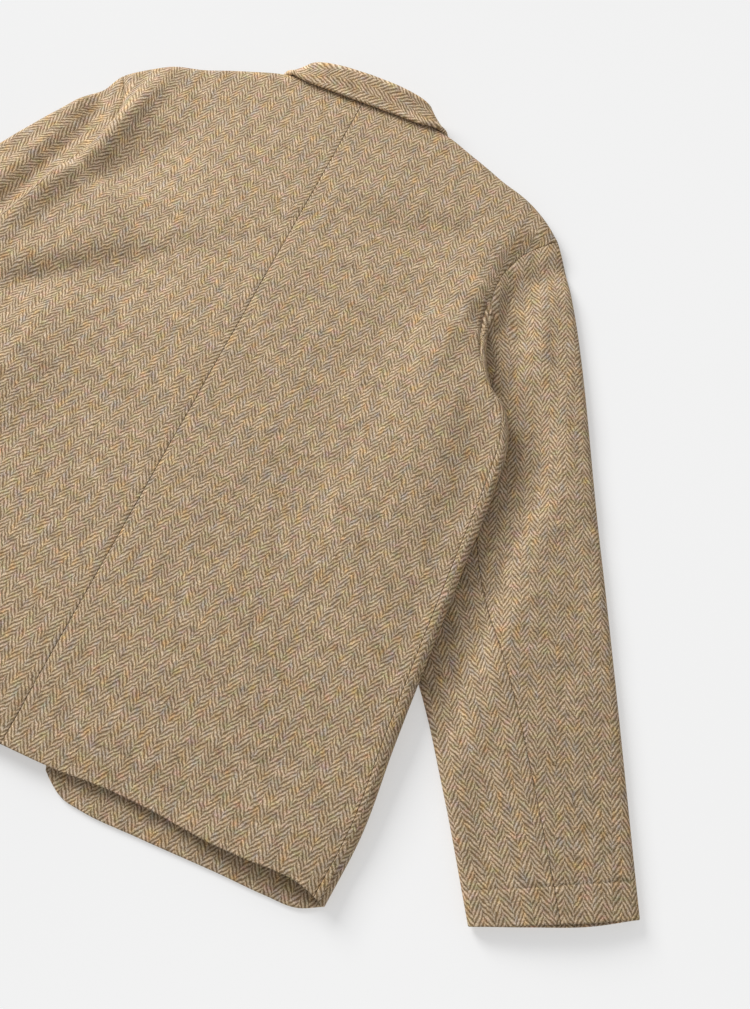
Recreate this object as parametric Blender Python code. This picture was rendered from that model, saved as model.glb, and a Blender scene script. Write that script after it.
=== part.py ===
"""Herringbone tweed work jacket, laid out flat on its front with its back up.

+X is the wearer's right, +Y runs from the hem to the collar and +Z is up.  The
origin is on the surface under the middle of the jacket.  Every piece of cloth is a
closed wall of even thickness, made from sections of a middle layer whose points
are moved out to both faces.  The right half is described, and the left half is
its mirror image apart from the creases.
"""

from math import radians

import bmesh
import bpy
import numpy as np

# ---------------------------------------------------------------- driving sizes
CLOTH = 0.0020          # thickness of the tweed
COLLAR_CLOTH = 0.0030   # the collar is two thinner layers, turned and pressed
SEAM_GAP = 0.0003       # left between two pieces along a seam
MIDDLE_Y = 0.35395      # the hem line of the back lies this far behind the origin

BACK_HEIGHT = 0.0150    # outer face of the back above the surface, where it lies
SLEEVE_RISE = 0.0096    # how far the body is lifted where it lies on a sleeve
COLLAR_RISE = 0.0050    # how far the fronts are lifted where they lie on the collar
SLEEVE_EDGE = 0.0078    # height of a sleeve along its folds and under the body
SLEEVE_CROWN = 0.0055   # how far a sleeve's upper layer swells between its folds
SLEEVE_FREE = 0.0035    # how much higher a sleeve's folds stand clear of the body
CUFF_DRAW = 0.0200      # the upper layer's cuff is drawn back by a seventh of this at most
BODY_ROLL = 0.0090      # how far the cloth takes to turn at the side and shoulder
SLEEVE_ROLL = 0.0060    # the same at the two folds of a sleeve
COLLAR_ROLL = 0.0026    # inner layer radius of the collar's fold
LIP = 0.0040            # how far the back drops at its armhole edge, over the sleeve
PARTING = 0.0022        # the two layers of a sleeve part by this at the underarm

# Reach of the slopes that join these heights, measured on the surface.
SLEEVE_MARGIN = 0.026   # the body is fully lifted this far outside the sleeve under it
FRONT_RAMP, BACK_RAMP = 0.030, 0.075    # and comes down over this much more
BACK_SHARE = 0.85       # share of the sleeve's lift that reaches the back
UNDERARM_RAMP = 0.028
COLLAR_REACH, COLLAR_RAMP = 0.095, 0.030
FREE_START, FREE_RAMP = 0.012, 0.045    # a sleeve swells this far out from the body's edge

# Outlines of the right half, seen from above: x, y, from hem to collar.
SIDE = [(0.2910, 0.0000), (0.2950, 0.0600), (0.2905, 0.1300), (0.2870, 0.2000),
        (0.2825, 0.3000), (0.2795, 0.3700), (0.2745, 0.4240), (0.2570, 0.4470),
        (0.2385, 0.4660), (0.2220, 0.4900), (0.2115, 0.5150)]
ARMHOLE = [(0.2055, 0.5450), (0.2065, 0.5800), (0.2170, 0.6110), (0.2375, 0.6355)]
SHOULDER = [(0.0800, 0.7055), (0.0950, 0.7010), (0.1200, 0.6905), (0.1630, 0.6740),
            (0.1900, 0.6650), (0.2180, 0.6490), (0.2375, 0.6355)]
BACK_NECK = [(0.0000, 0.7030), (0.0400, 0.7035), (0.0650, 0.7050), (0.0800, 0.7055)]
FRONT_NECK = [(0.0160, 0.6450), (0.0350, 0.6530), (0.0550, 0.6690), (0.0720, 0.6890),
              (0.0800, 0.7055)]
BACK_HEM = [(0.0000, 0.0030), (0.0480, 0.0040), (0.0980, 0.0080), (0.1400, 0.0078),
            (0.1920, 0.0055), (0.2220, 0.0065), (0.2450, 0.0083), (0.2620, 0.0083),
            (0.2780, 0.0050), (0.2910, 0.0000)]
FRONT_HEM = [(0.0405, 0.0000), (0.0500, -0.0068), (0.0635, -0.0137), (0.0800, -0.0158),
             (0.1340, -0.0130), (0.2070, -0.0099), (0.2600, -0.0092), (0.2730, -0.0080),
             (0.2910, 0.0000)]
FRONT_EDGE = [(0.0405, 0.0000), (0.0345, 0.0150), (0.0325, 0.0400), (0.0300, 0.1500),
              (0.0240, 0.4000), (0.0160, 0.6450)]

# Outlines of the right sleeve: share of its length, x, y, from armhole to cuff.
SLEEVE_OUTER = [(0.00, 0.2375, 0.6355), (0.04, 0.2480, 0.6170), (0.50, 0.3830, 0.3640),
                (1.00, 0.5175, 0.0930)]
SLEEVE_INNER = [(0.00, 0.2115, 0.5150), (0.06, 0.2190, 0.5020), (0.11, 0.2245, 0.4870),
                (0.16, 0.2235, 0.4700), (0.21, 0.2170, 0.4500), (0.27, 0.2090, 0.4250),
                (0.33, 0.2030, 0.3960), (0.39, 0.2010, 0.3600), (0.45, 0.2060, 0.3200),
                (0.51, 0.2200, 0.2780), (0.58, 0.2440, 0.2410), (0.68, 0.2920, 0.1870),
                (0.83, 0.3450, 0.1150), (1.00, 0.4000, 0.0340)]
CUFF = [(0.5175, 0.0930), (0.4865, 0.0735), (0.4430, 0.0530), (0.4000, 0.0340)]
# Place of the elbow seam across the upper layer: share of the length, share across.
ELBOW_SEAM = [(0.00, 0.66), (0.35, 0.62), (0.70, 0.54), (1.00, 0.47)]

# Large soft creases of the back: middle x, y, turn in degrees, half length,
# half width, rise (a trough is negative).
CREASES = [(-0.150, 0.440, 33, 0.110, 0.030, -0.0040),
           (-0.160, 0.578, -15, 0.040, 0.018, -0.0020),
           (0.105, 0.618, 20, 0.045, 0.020, -0.0020),
           (0.188, 0.606, 38, 0.055, 0.018, -0.0035),
           (0.250, 0.010, 90, 0.070, 0.045, 0.0032),
           (0.095, 0.000, 0, 0.070, 0.035, -0.0034),
           (-0.095, 0.000, 0, 0.070, 0.035, -0.0034)]

# Collar, right half: share of the way round the neck, then x, y, z of the centre of
# its fold, then x, y, z of its outer edge.
COLLAR = [(0.00, 0.0000, 0.7200, 0.0300, 0.0000, 0.7005, 0.0178),
          (0.20, 0.0340, 0.7190, 0.0290, 0.0360, 0.7005, 0.0178),
          (0.36, 0.0575, 0.7175, 0.0240, 0.0665, 0.7010, 0.0178),
          (0.45, 0.0650, 0.7165, 0.0180, 0.0825, 0.7045, 0.0162),
          (0.50, 0.0660, 0.7150, 0.0125, 0.0900, 0.7065, 0.0090),
          (0.56, 0.0615, 0.7105, 0.0078, 0.0960, 0.7000, 0.0032),
          (0.66, 0.0520, 0.7000, 0.0050, 0.1030, 0.6800, 0.0018),
          (0.80, 0.0330, 0.6830, 0.0043, 0.0920, 0.6400, 0.0017),
          (1.00, 0.0120, 0.6650, 0.0043, 0.0420, 0.5930, 0.0016)]

for thing in list(bpy.data.objects):
    bpy.data.objects.remove(thing, do_unlink=True)

# ------------------------------------------------------------------ small tools


def smooth(table, places=None):
    """A smooth curve through the rows of a table, as a function of 0 to 1 along it."""
    rows = np.array(table, float)
    if places is None:
        steps = np.linalg.norm(np.diff(rows, axis=0), axis=1)
        places = np.concatenate([[0.0], np.cumsum(steps)])
        places /= places[-1]
    slopes = np.gradient(rows, places, axis=0)

    def read(share):
        share = np.clip(np.asarray(share, float), 0.0, 1.0)
        low = np.clip(np.searchsorted(places, share, side="right") - 1, 0, len(places) - 2)
        span = (places[low + 1] - places[low])[..., None]
        t = (share - places[low])[..., None] / span
        return ((1 + 2 * t) * (1 - t) ** 2 * rows[low] + t * (1 - t) ** 2 * span * slopes[low]
                + t * t * (3 - 2 * t) * rows[low + 1] - t * t * (1 - t) * span * slopes[low + 1])

    return read


def smooth_at(table):
    """The same, where the table's first column gives each row's own share."""
    rows = np.array(table, float)
    return smooth(rows[:, 1:], rows[:, 0])


def ease(value):
    """0 below 0, 1 above 1, and a soft slope between."""
    value = np.clip(value, 0.0, 1.0)
    return value * value * (3 - 2 * value)


def unit(vectors):
    return vectors / np.linalg.norm(vectors, axis=-1, keepdims=True)


def patch(left, right, bottom, top, u, v):
    """Plan points of a cut piece between its four outlines."""
    u = u[..., None]
    v = v[..., None]
    corners = ((1 - u) * (1 - v) * bottom(0.0) + u * (1 - v) * bottom(1.0)
               + (1 - u) * v * top(0.0) + u * v * top(1.0))
    return ((1 - u) * left(v[..., 0]) + u * right(v[..., 0])
            + (1 - v) * bottom(u[..., 0]) + v * top(u[..., 0]) - corners)


def distance(x, y, line):
    """Distance to a line of points, and on which side of it a place lies."""
    starts, ends = line[:-1], line[1:]
    along = ends - starts
    rel = np.stack([x, y], -1)[..., None, :] - starts
    t = np.clip((rel * along).sum(-1) / (along * along).sum(-1), 0.0, 1.0)
    off = rel - t[..., None] * along
    gaps = np.linalg.norm(off, axis=-1)
    near = gaps.argmin(-1)[..., None]
    cross = along[..., 0] * rel[..., 1] - along[..., 1] * rel[..., 0]
    side = np.sign(np.take_along_axis(cross, near, -1))[..., 0]
    return np.take_along_axis(gaps, near, -1)[..., 0], side


# --------------------------------------------------------------- the body's form
body_edge = smooth(SIDE + ARMHOLE)
EDGE_STEPS = np.linalg.norm(np.diff(np.array(SIDE + ARMHOLE), axis=0), axis=1)
UNDERARM = EDGE_STEPS[:len(SIDE) - 1].sum() / EDGE_STEPS.sum()
BODY_LENGTH = EDGE_STEPS.sum()
NECK_SHARE = 0.325      # share of a panel's top line that is neckline

sleeve_outer = smooth_at(SLEEVE_OUTER)
sleeve_inner = smooth_at(SLEEVE_INNER)
OUTER_LINE = sleeve_outer(np.linspace(0.0, 1.0, 41))
TUCKED_LINE = sleeve_inner(np.linspace(0.0, 1.0, 41))
NECK_LINE = smooth(FRONT_NECK)(np.linspace(0.0, 1.0, 13))
SHOULDER_LINE = smooth(SHOULDER)(np.linspace(0.0, 1.0, 25))


def top_line(neck):
    """Neckline and shoulder of one panel as one curve, with the corner at NECK_SHARE."""
    neckline, shoulder = smooth(neck), smooth(SHOULDER)

    def read(share):
        share = np.asarray(share, float)
        return np.where((share < NECK_SHARE)[..., None], neckline(share / NECK_SHARE),
                        shoulder((share - NECK_SHARE) / (1 - NECK_SHARE)))

    return read


def over_sleeve(x, y, ramp):
    """How far the cloth is lifted by the sleeve that lies under the body's side."""
    underarm_y = SIDE[-1][1]
    gap, side = distance(np.abs(x), y, TUCKED_LINE)
    inside = np.where((side > 0) & (y < underarm_y), gap, -gap)
    return (SLEEVE_RISE * ease((inside + SLEEVE_MARGIN + ramp) / ramp)
            * ease((underarm_y - y) / UNDERARM_RAMP))


def front_height(x, y):
    """Outer, lower face of the fronts above the surface."""
    gap, _ = distance(np.abs(x), y, NECK_LINE)
    return over_sleeve(x, y, FRONT_RAMP) + COLLAR_RISE * ease((COLLAR_REACH - gap) / COLLAR_RAMP)


def back_height(x, y):
    """Outer, upper face of the back above the surface."""
    height = BACK_HEIGHT + BACK_SHARE * over_sleeve(x, y, BACK_RAMP)
    for middle_x, middle_y, turn, half_length, half_width, rise in CREASES:
        cos, sin = np.cos(radians(turn)), np.sin(radians(turn))
        along = (x - middle_x) * cos + (y - middle_y) * sin
        across = (y - middle_y) * cos - (x - middle_x) * sin
        height = height + rise * np.exp(-(along / half_length) ** 2 - (across / half_width) ** 2)
    return height


def roll(share, most):
    """The turn of cloth over an edge: how far in, and how much of the drop is made."""
    angle = share * most
    return 1 - np.sin(angle) / np.sin(most), (1 - np.cos(angle)) / (1 - np.cos(most))


FLAT_TURN = radians(20)      # the side's turn at the top of the armhole
FULL_TURN = radians(90)      # and from the underarm down
FLATTENS = {True: 0.45, False: 0.20}    # share of the armhole it changes over: back, front
SEAM_PARTS = 0.09       # share of the armhole over which the back leaves the front
LIP_FADE = 0.50         # share of the armhole over which the back's lip fades out
COLUMN_ROLL = 0.84      # columns past this share make the turn at the side
ROW_ROLL = 0.90         # rows past this share make the turn at the shoulder


def panel(side, is_back, columns, rows):
    """Middle layer of a back or a front: one point for each column and row."""
    a, b = np.meshgrid(columns, rows, indexing="ij")
    right = body_edge
    if is_back:
        left = smooth([BACK_HEM[0], BACK_NECK[0]])
        bottom, top = smooth(BACK_HEM), top_line(BACK_NECK)
    else:
        left = smooth(FRONT_EDGE)
        bottom, top = smooth(FRONT_HEM), top_line(FRONT_NECK)
    # v, up the piece, and u, across it
    rough_v = np.clip(b / ROW_ROLL, 0.0, 1.0) * (1 - BODY_ROLL / BODY_LENGTH)
    arm = np.clip((rough_v - UNDERARM) / (1 - UNDERARM), 0.0, 1.0)
    side_turn = FLAT_TURN + (FULL_TURN - FLAT_TURN) * (1 - ease(arm / FLATTENS[is_back]))
    width = right(rough_v)[..., 0]
    inward, side_drop = roll(np.clip((a - COLUMN_ROLL) / (1 - COLUMN_ROLL), 0.0, 1.0), side_turn)
    u = np.where(a < COLUMN_ROLL, (1 - BODY_ROLL / width) * a / COLUMN_ROLL,
                 1 - BODY_ROLL * inward / width)
    inward, _ = roll(np.clip((b - ROW_ROLL) / (1 - ROW_ROLL), 0.0, 1.0), FULL_TURN)
    v = np.where(b < ROW_ROLL, (1 - BODY_ROLL / BODY_LENGTH) * b / ROW_ROLL,
                 1 - BODY_ROLL * inward / BODY_LENGTH)
    plan = patch(left, right, bottom, top, u, v)
    x, y = plan[..., 0] * side, plan[..., 1]
    low, high = front_height(x, y), back_height(x, y)
    half_way = (low + high) / 2
    flat = high - CLOTH / 2 if is_back else low + CLOTH / 2
    seam = ease(1 - arm / SEAM_PARTS)
    lip = LIP * (1.1 - ease(arm / LIP_FADE - 0.2))
    fall = flat - half_way
    side_fall = side_drop * (seam + (1 - seam) * lip / fall if is_back else seam)
    near_top = 1 - distance(plan[..., 0], y, SHOULDER_LINE)[0] / BODY_ROLL
    top_fall = 1 - np.sqrt(1 - np.clip(near_top, 0.0, 1.0) ** 2)
    z = flat - fall * (1 - (1 - side_fall) * (1 - top_fall))
    return np.stack([x, y, z], -1)


# ----------------------------------------------------------------- cloth walls


def normals(points, before=None, after=None, under=None, over=None):
    """Direction out of the cloth at each point, from its neighbours on all sides.

    before, after, under and over are the rows of the neighbouring pieces, with a
    row of nan where there is no neighbour.
    """
    def ends(row, near, far):
        free = 2 * near - far
        return free if row is None else np.where(np.isnan(row), free, row)

    wide = np.concatenate([ends(before, points[0], points[1])[None], points,
                           ends(after, points[-1], points[-2])[None]])
    tall = np.concatenate([ends(under, points[:, 0], points[:, 1])[:, None], points,
                           ends(over, points[:, -1], points[:, -2])[:, None]], axis=1)
    return unit(np.cross(wide[2:] - wide[:-2], tall[:, 2:] - tall[:, :-2]))


def wall(name, points, outward, thickness, colour):
    """A closed wall of cloth: two grids, one for each face, joined along their rims."""
    columns, rows = points.shape[:2]
    thickness = np.broadcast_to(thickness, rows)
    mesh = bmesh.new()
    rims = []
    for face in (1, -1):
        grid = bmesh.ops.create_grid(mesh, x_segments=columns - 1, y_segments=rows - 1, size=0.5)
        verts = grid["verts"]
        for vert in verts:
            column = round((vert.co.x + 0.5) * (columns - 1))
            row = round((vert.co.y + 0.5) * (rows - 1))
            vert.co = points[column, row] + outward[column, row] * face * thickness[row] / 2
        faces = list({f for vert in verts for f in vert.link_faces})
        if face < 0:
            bmesh.ops.reverse_faces(mesh, faces=faces)
        rims += [e for e in {e for f in faces for e in f.edges} if e.is_boundary]
    bmesh.ops.bridge_loops(mesh, edges=rims)
    bmesh.ops.recalc_face_normals(mesh, faces=mesh.faces)
    bmesh.ops.translate(mesh, vec=(0.0, -MIDDLE_Y, 0.0), verts=mesh.verts)
    data = bpy.data.meshes.new(name)
    mesh.to_mesh(data)
    mesh.free()
    data.shade_smooth()
    data.set_sharp_from_angle(angle=radians(50))
    data.materials.append(tweed(name, colour))
    piece = bpy.data.objects.new(name, data)
    bpy.context.collection.objects.link(piece)
    return piece


def tweed(name, colour):
    """Rough woollen cloth in the mean colour of its yarns."""
    material = bpy.data.materials.new(name + "_tweed")
    material.use_nodes = True
    surface = material.node_tree.nodes["Principled BSDF"]
    surface.inputs["Base Color"].default_value = (*colour, 1.0)
    surface.inputs["Roughness"].default_value = 0.92
    surface.inputs["Metallic"].default_value = 0.0
    surface.inputs["Sheen Weight"].default_value = 0.25
    return material


def drawn_back(edge, next_row, amount=SEAM_GAP / 2):
    """An edge moved by half the seam's gap towards the next row of its own piece."""
    return edge + unit(next_row - edge) * amount


# ------------------------------------------------------------- rows and columns
NECK_STEPS = np.array([0.0, 0.25, 0.48, 0.68, 0.83, 0.93, 1.0])
NECK_COLUMNS, SHOULDER_COLUMNS, ROLL_STEPS = len(NECK_STEPS) - 1, 6, 3
SIDE_STEPS = np.array([0.0, 0.11, 0.22, 0.34, 0.46, 0.57, 0.67, 0.755, 0.81, 0.865, 0.93])
SIDE_ROWS = len(SIDE_STEPS)
ACROSS = np.array([0.0, 0.02, 0.05, 0.12, 0.26, 0.50, 0.76, 0.89, 0.95, 0.98, 1.0])
ELBOW, FOREARM = 5, 6                            # places across the sleeve that are seams
SLEEVE_ROWS = np.array([0.0, 0.02, 0.05, 0.09, 0.14, 0.20, 0.27, 0.35, 0.43, 0.51,
                        0.59, 0.67, 0.75, 0.83, 0.92, 1.0])

last_width = body_edge(1 - BODY_ROLL / BODY_LENGTH)[0]
neck_column = NECK_SHARE * COLUMN_ROLL / (1 - BODY_ROLL / last_width)
COLUMNS = np.concatenate([NECK_STEPS * neck_column,
                          np.linspace(neck_column, COLUMN_ROLL, SHOULDER_COLUMNS + 1)[1:],
                          np.linspace(COLUMN_ROLL, 1.0, ROLL_STEPS + 1)[1:]])


def across(length_share, seam_at):
    """Places across the sleeve's upper layer, drawn over so that its seam is at seam_at."""
    return np.where(ACROSS < 0.5, ACROSS * seam_at / 0.5, 1 - (1 - ACROSS) * (1 - seam_at) / 0.5)


def armhole_rows(places):
    """Rows of a panel that meet the sleeve's columns: its share up for each place."""
    share = 1 - places * (1 - UNDERARM)          # up the edge, 1 at the shoulder point
    inward = (1 - share) * BODY_LENGTH / BODY_ROLL
    turn = np.arcsin(np.clip(1 - inward, 0.0, 1.0)) / FULL_TURN
    return np.where(inward < 1, ROW_ROLL + (1 - ROW_ROLL) * turn,
                    share * ROW_ROLL / (1 - BODY_ROLL / BODY_LENGTH))


# ------------------------------------------------------------ backs and fronts
SIDE_ROWS_UP = SIDE_STEPS * armhole_rows(np.array([1.0]))[0]


def body_piece(side, is_back):
    places = across(0.0, elbow_at(0.0)) if is_back else ACROSS
    rows = np.concatenate([SIDE_ROWS_UP, armhole_rows(places[::-1])])
    return panel(side, is_back, COLUMNS, rows)


def elbow_at(length_share):
    return float(smooth_at([(s, w, 0.0) for s, w in ELBOW_SEAM])(length_share)[0])


backs = {side: body_piece(side, True) for side in (1, -1)}
fronts = {side: body_piece(side, False) for side in (1, -1)}


def body_outward(side, is_back):
    own, other = (backs, fronts) if is_back else (fronts, backs)
    points, facing = own[side], other[side]
    blank = np.full((points.shape[1], 3), np.nan)
    before = backs[-side][1] if is_back else blank
    after = blank.copy()
    after[:SIDE_ROWS + 1] = facing[-2, :SIDE_ROWS + 1]
    over = np.full((points.shape[0], 3), np.nan)
    over[NECK_COLUMNS:] = facing[NECK_COLUMNS:, -2]
    outward = normals(points, before, after, None, over)
    return outward * (side if is_back else -side)


outward = {(side, is_back): body_outward(side, is_back)
           for side in (1, -1) for is_back in (True, False)}
for side in (1, -1):
    # both pieces of a seam share its directions, so that their edges face each other
    front, back = outward[side, False], outward[side, True]
    shared = unit(front[-1, :SIDE_ROWS + 1] + back[-1, :SIDE_ROWS + 1])
    front[-1, :SIDE_ROWS + 1] = back[-1, :SIDE_ROWS + 1] = shared
    shared = unit(front[NECK_COLUMNS:, -1] + back[NECK_COLUMNS:, -1])
    front[NECK_COLUMNS:, -1] = back[NECK_COLUMNS:, -1] = shared
shared = unit(outward[1, True][0] + outward[-1, True][0])
outward[1, True][0] = outward[-1, True][0] = shared


def with_seams(points, is_back):
    """The piece drawn back from its seams at the middle, the side and the shoulder."""
    cut = points.copy()
    if is_back:
        cut[0] = drawn_back(points[0], points[1])
    cut[-1] = drawn_back(points[-1], points[-2])
    cut[NECK_COLUMNS:, -1] = drawn_back(points[NECK_COLUMNS:, -1], points[NECK_COLUMNS:, -2])
    return cut


BACK_TWEED = (0.36, 0.27, 0.17)
FRONT_TWEED = (0.34, 0.26, 0.16)
SLEEVE_TWEED = (0.35, 0.26, 0.165)
COLLAR_TWEED = (0.37, 0.28, 0.18)
NAMES = {1: "right", -1: "left"}

for side in (1, -1):
    wall("back_" + NAMES[side], with_seams(backs[side], True), outward[side, True], CLOTH,
         BACK_TWEED)
    wall("front_" + NAMES[side], with_seams(fronts[side], False), outward[side, False], CLOTH,
         FRONT_TWEED)


# --------------------------------------------------------------------- sleeves
EDGE_LINE = body_edge(np.linspace(0.0, 1.0, 61))


def sleeve_layer(side, is_upper, q, v):
    """Middle layer of one side of the flat sleeve, q across from its outer fold, v along."""
    own = backs[side] if is_upper else fronts[side]
    start = own[-1, SIDE_ROWS:][::-1]            # from the shoulder point to the underarm
    start_z = np.interp(q, layer_places(is_upper)[:, 0], start[:, 2])
    # plan
    share = 1 - q * (1 - UNDERARM)
    along = unit(body_edge(share - 0.002) - body_edge(share + 0.002))
    out = np.stack([-along[..., 1], along[..., 0]], -1)
    turn = FLAT_TURN + (FULL_TURN - FLAT_TURN) * (1 - ease((1 - q) / FLATTENS[is_upper]))
    clear = (SEAM_GAP * (1 + 2 * ease(1 - q / 0.10))
             + CLOTH / 2 * (np.sin(turn) + ease((q - 0.93) / 0.07)))
    outer, inner = sleeve_outer(v), sleeve_inner(v)
    q_, v_ = q[..., None], v[..., None]
    bulge = (body_edge(share) + out * clear[..., None]
             - (1 - q_) * body_edge(1.0) - q_ * body_edge(UNDERARM))
    keep = (1 - v_) ** (1 + 24 * ease((q_ - 0.4) / 0.5))
    flare = smooth(CUFF)(q) - (1 - q_) * CUFF[0] - q_ * CUFF[-1]
    if is_upper:
        flare = flare + CUFF_DRAW * q_ * (1 - q_) ** 2 * unit(OUTER_LINE[0] - OUTER_LINE[-1])
    plan = (1 - q_) * outer + q_ * inner + keep * bulge + v_ ** 6 * flare
    x, y = plan[..., 0], plan[..., 1]
    # heights
    gap, on = distance(x, y, EDGE_LINE)
    outside = ease((np.where(on < 0, gap, -gap) - FREE_START) / FREE_RAMP)
    edge_height = SLEEVE_EDGE + SLEEVE_FREE * outside
    crown = edge_height + outside * SLEEVE_CROWN * np.sin(np.pi * q) ** 0.8
    from_edge = np.minimum(distance(x, y, OUTER_LINE)[0], distance(x, y, TUCKED_LINE)[0])
    from_edge = from_edge * ((q > 0) & (q < 1))
    rise = np.sqrt(np.clip(1 - (1 - from_edge / SLEEVE_ROLL).clip(0, 1) ** 2, 0, 1))
    middle = edge_height / 2
    if is_upper:
        tube = middle + (crown - CLOTH / 2 - middle) * rise
    else:
        tube = middle - (middle - CLOTH / 2) * rise
    parted = PARTING * rise * ease((q - 0.80) / 0.12) * (1 if is_upper else -1)
    settled = ease(v / (0.16 - 0.07 * ease((q - 0.8) / 0.2)))
    z = np.maximum((1 - settled) * (start_z + parted) + settled * tube, CLOTH / 2)
    return np.stack([x * side, y, z], -1)


def layer_places(is_upper):
    """Place across of each point of a sleeve's layer: a column for each row of it."""
    return np.stack([across(s, elbow_at(s)) if is_upper else ACROSS for s in SLEEVE_ROWS], 1)


def sleeve_grid(side, is_upper):
    """Points of one layer and the direction out of the cloth at each."""
    q = layer_places(is_upper)
    v = np.broadcast_to(SLEEVE_ROWS, q.shape)
    inside_q, step = np.clip(q, 0.006, 0.994), 0.002

    def at(more_q, more_v):
        return sleeve_layer(side, is_upper, inside_q + more_q, np.clip(v + more_v, 0.0, 1.0))

    out = np.cross(at(step, 0) - at(-step, 0), at(0, step) - at(0, -step))
    return sleeve_layer(side, is_upper, q, v), unit(out) * (side if is_upper else -side)


for side in (1, -1):
    upper, upper_out = sleeve_grid(side, True)
    lower, lower_out = sleeve_grid(side, False)
    for fold in (0, -1):
        upper_out[fold] = lower_out[fold] = unit(upper_out[fold] + lower_out[fold])
    ring = np.concatenate([lower[::-1], upper[1:]])     # inner fold, outer fold, inner fold
    out = np.concatenate([lower_out[::-1], upper_out[1:]])
    low_seam = len(ACROSS) - 1 - FOREARM
    top_seam = len(ACROSS) - 1 + ELBOW
    top = ring[low_seam:top_seam + 1].copy()
    top[0], top[-1] = drawn_back(top[0], top[1]), drawn_back(top[-1], top[-2])
    under = np.concatenate([ring[top_seam:], ring[1:low_seam + 1]])
    under[0], under[-1] = drawn_back(under[0], under[1]), drawn_back(under[-1], under[-2])
    wall("sleeve_top_" + NAMES[side], top, out[low_seam:top_seam + 1], CLOTH, SLEEVE_TWEED)
    wall("sleeve_under_" + NAMES[side], under,
         np.concatenate([out[top_seam:], out[1:low_seam + 1]]), CLOTH, SLEEVE_TWEED)


# ---------------------------------------------------------------------- collar
COLLAR_TURN = np.array([45, 90, 135])    # degrees round the fold, between stand and fall


def collar_half(side):
    """Points of half the collar, a section for each place round the neck, and its start."""
    back, front = backs[side], fronts[side]
    neck = NECK_COLUMNS
    seam = np.concatenate([back[:neck + 1, -1], front[:neck, -1][::-1]])
    facing = np.concatenate([outward[side, True][:neck + 1, -1],
                             outward[side, False][:neck, -1][::-1]])
    share = np.concatenate([NECK_STEPS / 2, 1 - NECK_STEPS[:-1][::-1] / 2])
    mirror = np.array([side, 1, 1])
    table = smooth_at(COLLAR)
    fold, edge = table(share)[:, :3] * mirror, table(share)[:, 3:] * mirror
    tangent = unit((table(share + 0.01) - table(share - 0.01))[:, :3] * mirror) * side
    up = unit(fold - (seam + edge) / 2)
    over = unit(np.cross(tangent, up))
    up = np.cross(over, tangent)
    along = np.gradient(seam, share, axis=0) * side
    gap = SEAM_GAP * (1 + 2 * ease(1 - np.abs(share - 0.5) / 0.15))
    start = seam + unit(np.cross(facing, along)) * gap[:, None]
    inner, outer = fold - over * COLLAR_ROLL, fold + over * COLLAR_ROLL
    turn = [fold + COLLAR_ROLL * (up * np.sin(radians(t)) - over * np.cos(radians(t)))
            for t in COLLAR_TURN]
    return np.stack([start, (start + inner) / 2, inner, *turn, outer,
                     (outer + edge) / 2, edge], 1), facing


right, right_facing = collar_half(1)
left, left_facing = collar_half(-1)
sections = np.concatenate([left[::-1], right[1:]])
facing = np.concatenate([left_facing[::-1], right_facing[1:]])
out = normals(sections)
out *= np.sign((out[:, 0] * facing).sum(-1).mean())
out[:, 0] = facing
on_stand = np.arange(sections.shape[1]) < 2
wall("collar", sections, out, np.where(on_stand, CLOTH, COLLAR_CLOTH), COLLAR_TWEED)
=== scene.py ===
"""Herringbone tweed work jacket, laid out flat on its front with its back up."""

from math import radians

import bmesh
import bpy
import numpy as np
from mathutils import Matrix


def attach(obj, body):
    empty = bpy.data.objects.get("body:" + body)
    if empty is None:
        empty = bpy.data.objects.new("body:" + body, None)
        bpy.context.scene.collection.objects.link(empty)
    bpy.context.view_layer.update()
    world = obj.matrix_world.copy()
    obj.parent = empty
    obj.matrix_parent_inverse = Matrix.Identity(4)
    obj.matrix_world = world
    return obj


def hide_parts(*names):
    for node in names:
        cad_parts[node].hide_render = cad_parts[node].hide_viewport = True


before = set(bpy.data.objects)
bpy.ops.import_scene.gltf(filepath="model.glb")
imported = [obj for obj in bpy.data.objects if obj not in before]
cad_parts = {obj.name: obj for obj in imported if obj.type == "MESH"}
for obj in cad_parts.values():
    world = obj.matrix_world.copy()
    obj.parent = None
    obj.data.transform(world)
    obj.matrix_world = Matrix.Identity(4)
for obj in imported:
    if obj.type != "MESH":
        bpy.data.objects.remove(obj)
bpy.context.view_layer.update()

# ------------------------------------------------------------------------ backs
# Two mirrored halves of heavy wool herringbone, sewn together down the middle and
# pressed open.  They lie on the fronts, roll over at the shoulder and the side, and
# carry the soft troughs that the laid out jacket keeps.
CLOTH = 0.0020          # thickness of the tweed
MIDDLE_Y = 0.35395      # the hem line of the back lies this far behind the origin
BACK_HEIGHT = 0.0150    # outer face of the back above the floor
SLEEVE_RISE = 0.0096    # how far the body is lifted where it lies on a sleeve
SLEEVE_CLEAR = 0.026    # that lift is full from this far outside the sleeve's inner fold
FRONT_RAMP, BACK_RAMP = 0.030, 0.075    # and is gone this much further out
BACK_SHARE = 0.85       # share of the lift that reaches the back
ARM_FADE = 0.028        # the lift dies out over this much below the underarm
COLLAR_RISE = 0.0050    # how far the fronts are lifted where they lie on the collar
COLLAR_REACH = 0.095    # that lift ends this far from the front's neckline
COLLAR_RAMP = 0.030     # and takes this much to rise
BODY_WAVES = (0.0005, 0.085)    # height and length of the ripples in the loose cloth
BODY_ROLL = 0.0090      # how far the cloth takes to turn at the side and shoulder
SIDE_WRAP = 0.0100      # the front comes round the side and ends this far in
LOWEST_EDGE = 0.0050    # middle of the back where it lies lowest, at its armhole

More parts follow.
